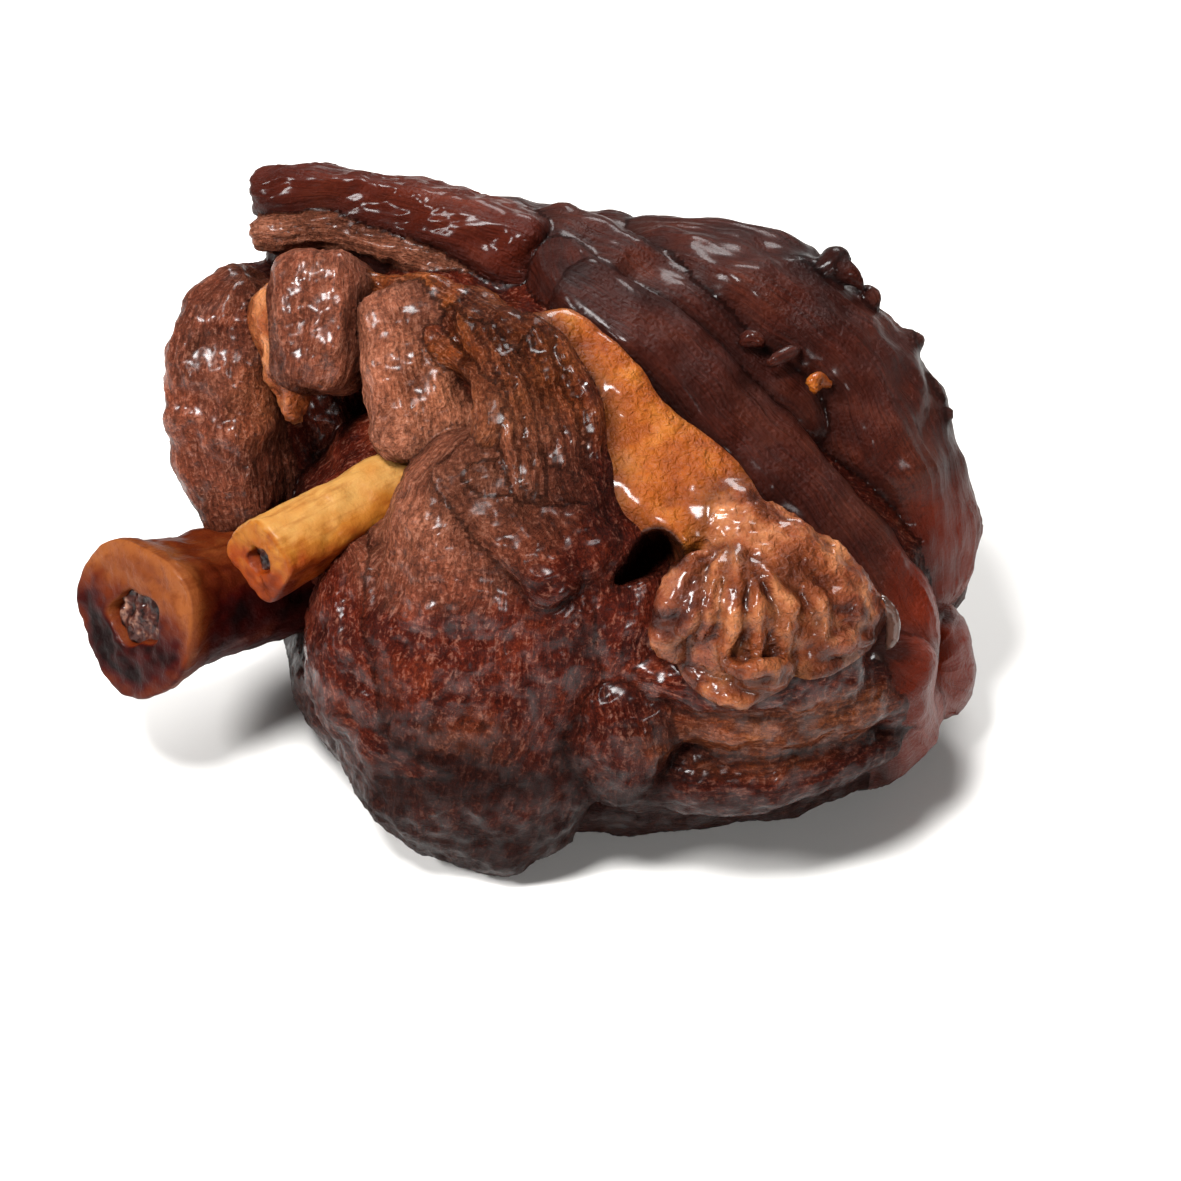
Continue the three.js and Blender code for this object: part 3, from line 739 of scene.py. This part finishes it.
def bone(name, end, out, outline, hole, length, tint_of, material):
    """A sawn shaft, built as rings from deep in its bore, over the sawn face and down its outside.

    outline(angle, depth) is the shaft's radius at a depth below the sawn face, all in mm."""
    end = np.array(end, float)
    out = Vector(out).normalized()
    turn = Vector((0, 0, 1)).rotation_difference(out)
    across, deep, out = (np.array(v) for v in (turn @ Vector((1, 0, 0)), turn @ Vector((0, 1, 0)), out))
    angle = np.arange(AROUND) * 2 * math.pi / AROUND
    spoke = np.cos(angle)[:, None] * across + np.sin(angle)[:, None] * deep

    def build(rings, seed, rough, dent):
        radius = np.array([np.broadcast_to(r, AROUND) for r, _ in rings]).reshape(-1)
        depth = np.repeat([d for _, d in rings], AROUND)
        ray = np.tile(spoke, (len(rings), 1))
        place = end + radius[:, None] * ray - depth[:, None] * out
        sawn = np.clip(1 - depth / 1.5, 0, 1)[:, None]
        coarse = rough * swell(place, 4.5, seed) + 0.55 * rough * swell(place, 1.6, seed + 1)
        place = place + coarse[:, None] * (ray * (1 - sawn) + dent * out * sawn)
        return place - (radius * (ray @ OBLIQUE))[:, None] * out, radius, depth, ray

    edge = hole * (1 + 0.12 * np.cos(2 * angle + 1) + 0.08 * np.cos(5 * angle))
    rim = outline(angle, 0.0)
    rings = [(edge * 0.9, 9.0), (edge * 0.95, 5.0), (edge, 1.8), (edge * 1.04, 0.6), (edge * 1.14, 0.0)]
    rings += [(edge * 1.14 + (rim - edge * 1.14) * share, 0.0) for share in np.linspace(0.08, 0.95, 16)]
    rings += [(rim, 0.25)] + [(outline(angle, depth), depth) for depth in np.arange(0.9, length, 0.8)]
    place, radius, depth, ray = build(rings, 31, 0.5, 1.2)
    values = tint_of(place, radius, depth, ray) + 0.14 * swell(place, 5, 37) + 0.1 * swell(place, 1.7, 38)
    streaks = place - 0.88 * ((place - end) @ out)[:, None] * out
    loose_piece("sawn_" + name, place, len(rings), {"tint": values, "grain": streaks}, material, name)
    # The marrow: a pitted plug sunk a little below the sawn face.
    plug = 1.02 * hole  # just into the bore's wall
    rings = [(plug * share, MARROW_TOP) for share in np.linspace(0.03, 1, 16)] + [(plug, MARROW_FOOT)]
    place = build(rings[::-1], 35, 0.6, 0)[0]
    place += out * (0.9 * swell(place, 2.6, 39) + 0.5 * swell(place, 1.2, 40))[:, None]
    node = name.replace("bone", "marrow")
    loose_piece("shrunken_" + node, place, len(rings), {}, marrow, node)


def bone_material(name, stops):
    """Bone, dense and waxy, from where the sauce soaked it to where the meat has just drawn off it;
    the tone read from tint also holds painted shade and painted highlights.
    """
    made, tree, shader = new_material(name, {
        "Roughness": 0.5, "Specular IOR Level": 0.05, "Coat Weight": 0.05, "Coat Roughness": 0.2,
        "Subsurface Weight": 0.12, "Subsurface Radius": (4 * MM, 2 * MM, 1 * MM),
    })
    where = add(tree, "ShaderNodeTexCoord")
    tint_in = add(tree, "ShaderNodeAttribute", {"attribute_name": "tint"})
    tone = add(tree, "ShaderNodeValToRGB", {"stops": stops}, Fac=tint_in.outputs["Fac"])
    speck = add(tree, "ShaderNodeTexNoise", {"Scale": every(0.9), "Detail": 3.0},
                Vector=where.outputs["Object"])
    streak_in = add(tree, "ShaderNodeAttribute", {"attribute_name": "grain"})
    streak = add(tree, "ShaderNodeTexNoise", {"Scale": 1 / 1.8, "Detail": 5.0, "Roughness": 0.65},
                 Vector=streak_in.outputs["Vector"])
    streak_tone = add(tree, "ShaderNodeValToRGB", {"stops": [(0.32, "#c8a488"), (0.5, "#ffffff")]},
                      Fac=streak.outputs["Fac"])
    mixed = add(tree, "ShaderNodeMix", {"data_type": "RGBA", "blend_type": "MULTIPLY", 0: 0.6},
                _6=tone.outputs[0], _7=streak_tone.outputs[0])
    tree.links.new(mixed.outputs[2], shader.inputs["Base Color"])
    both = add(tree, "ShaderNodeMath", {"operation": "ADD"},
               _0=speck.outputs["Fac"], _1=streak.outputs["Fac"])
    bump = add(tree, "ShaderNodeBump", {"Strength": 0.5, "Distance": 0.4 * MM}, Height=both.outputs[0])
    tree.links.new(bump.outputs[0], shader.inputs["Normal"])
    return made


# Marrow, dark and pitted, with wet glints and paler crumbs.
marrow, tree, shader = new_material("cooked_marrow", {
    "Roughness": 0.5, "Specular IOR Level": 0.08, "Coat Weight": 0.3, "Coat Roughness": 0.08})
where = add(tree, "ShaderNodeTexCoord")
blotch = add(tree, "ShaderNodeTexNoise", {"Scale": every(2.6), "Detail": 4.0}, Vector=where.outputs["Object"])
tone = add(tree, "ShaderNodeValToRGB", {"stops": [(0.4, "#120504"), (0.56, "#381a14"), (0.74, "#85604f")]},
           Fac=blotch.outputs["Fac"])
tree.links.new(tone.outputs[0], shader.inputs["Base Color"])
bump = add(tree, "ShaderNodeBump", {"Strength": 0.9, "Distance": 1.2 * MM}, Height=blotch.outputs["Fac"])
tree.links.new(bump.outputs[0], shader.inputs["Normal"])


def large_outline(angle, depth):
    flare = 3.4 * np.exp(-((max(depth - 2, 0) / 6.5) ** 1.4))
    return 14 + flare + 0.7 * np.cos(3 * angle + 0.6) + 0.4 * np.cos(5 * angle)


def large_tint(place, radius, depth, ray):
    """Tan at the top of the sawn face and in a band behind the rim, darker below and down the
    shaft: partly sauce stain, partly painted shade, with a painted highlight along the shaft's top."""
    band = np.exp(-((np.maximum(depth - 1, 0) / 5.0) ** 2))
    # Darker towards the bottom: partly sauce stain, partly painted shade.
    top = np.clip((place[:, 2] - 44) / 10, 0, 1)
    brim = np.clip((radius - 13.5) / 3, 0, 1)
    sawn = (depth < 0.4) * (0.65 * top + 0.05 + 0.25 * brim)
    # Painted highlight along the top of the shaft.
    top_highlight = 0.16 + 0.45 * np.clip(ray[:, 2], 0, 1) ** 4
    shaft = (depth >= 0.4) * (band * (0.5 + 0.25 * top) + (1 - band) * top_highlight)
    return sawn + shaft


def small_outline(angle, depth):
    wide, deep, square = 8.4, 8.2, 4.0
    reach = (np.abs(np.cos(angle) / wide) ** square + np.abs(np.sin(angle) / deep) ** square) ** (-1 / square)
    waist = (0.96 if depth < 0.3 else 1) * (1 - 0.06 * math.sin(depth / 14))
    return reach * waist * (1 + 0.05 * np.cos(3 * angle))


def small_tint(place, radius, depth, ray):
    """Palest on top, a deeper amber down its sides and on the sawn face, which pales towards its top:
    partly stain, partly painted light on top and painted shade down the sides.
    """
    # How far each point faces up lightens the top and darkens the sides: painted light and painted shade,
    # partly stain.
    return np.where(depth < 0.4, 0.5 + 0.18 * ray[:, 2], 0.28 + 0.63 * np.clip(ray[:, 2] + 0.12, 0, 1))


shank_bone = bone_material(
    "stained_shaded_shank_bone", [(0.0, "#0c0101"), (0.22, "#2c0402"), (0.5, "#4e1c08"), (0.9, "#723e1c")])
leg_bone = bone_material(
    "clean_leg_bone", [(0.2, "#451203"), (0.42, "#702c08"), (0.68, "#88521a"), (0.95, "#9c723c")])
bone("large_bone", (-93, -15, 47), (-0.8, -0.58, 0.13), large_outline, 6.5, 70, large_tint, shank_bone)
bone("small_bone", (-64, -25, 71), (-0.815, -0.561, -0.137), small_outline, 3.2, 60, small_tint, leg_bone)

# ---------------------------------------------------------------------------------------------
# Stage: a pale floor, a dim even sky, four soft lights (behind, above, at the left and in front)
# and the camera.

FLOOR = 3  # half the floor's width, in metres
floor_mesh = bpy.data.meshes.new("floor")
floor_mesh.from_pydata([(-FLOOR, -FLOOR, 0), (FLOOR, -FLOOR, 0), (FLOOR, FLOOR, 0), (-FLOOR, FLOOR, 0)],
                       [], [(0, 1, 2, 3)])
floor = bpy.data.objects.new("floor", floor_mesh)
bpy.context.scene.collection.objects.link(floor)
pale_floor, _, _ = new_material("pale_floor", {"Base Color": linear("#e9e7e4"), "Roughness": 0.8})
floor_mesh.materials.append(pale_floor)

world = bpy.data.worlds.new("studio")
bpy.context.scene.world = world
world.use_nodes = True
world.node_tree.nodes["Background"].inputs["Color"].default_value = linear("#f4f2f0")
world.node_tree.nodes["Background"].inputs["Strength"].default_value = 0.12

AIM = Vector((0.0, 0.0, 0.05))


def softbox(name, azimuth, elevation, distance, size, power):
    """A round soft light of a size in metres and a power in watts, turned towards the joint."""
    light = bpy.data.lights.new(name, "AREA")
    light.shape, light.size, light.energy = "DISK", size, power
    holder = bpy.data.objects.new(name, light)
    bpy.context.scene.collection.objects.link(holder)
    a, e = math.radians(azimuth), math.radians(elevation)
    away = Vector((math.sin(a) * math.cos(e), -math.cos(a) * math.cos(e), math.sin(e)))
    holder.location = AIM + away * distance
    holder.rotation_mode = "QUATERNION"
    holder.rotation_quaternion = away.to_track_quat("Z", "Y")


softbox("back_softbox", 165, 42, 0.9, 0.35, 8)
softbox("top_softbox", -30, 64, 0.9, 0.22, 13)
softbox("left_softbox", -60, 40, 0.9, 0.18, 7)
softbox("front_fill", 20, 24, 1.1, 0.22, 3.5)

CAMERA_ELEVATION = math.radians(39)
CAMERA_DISTANCE = 0.8
CAMERA_LENS, CAMERA_SENSOR = 110.95, 36  # in mm
CAMERA_AIM = Vector(((5.6, 0.0, 42.7) + ORIGIN) * MM)
camera_data = bpy.data.cameras.new("camera")
camera_data.sensor_width = CAMERA_SENSOR
camera_data.lens = CAMERA_LENS
camera = bpy.data.objects.new("camera", camera_data)
bpy.context.scene.collection.objects.link(camera)
back = Vector((0, -math.cos(CAMERA_ELEVATION), math.sin(CAMERA_ELEVATION)))
camera.location = CAMERA_AIM + back * CAMERA_DISTANCE
camera.rotation_mode = "QUATERNION"
camera.rotation_quaternion = back.to_track_quat("Z", "Y")
bpy.context.scene.camera = camera
bpy.context.scene.view_settings.view_transform = "Standard"
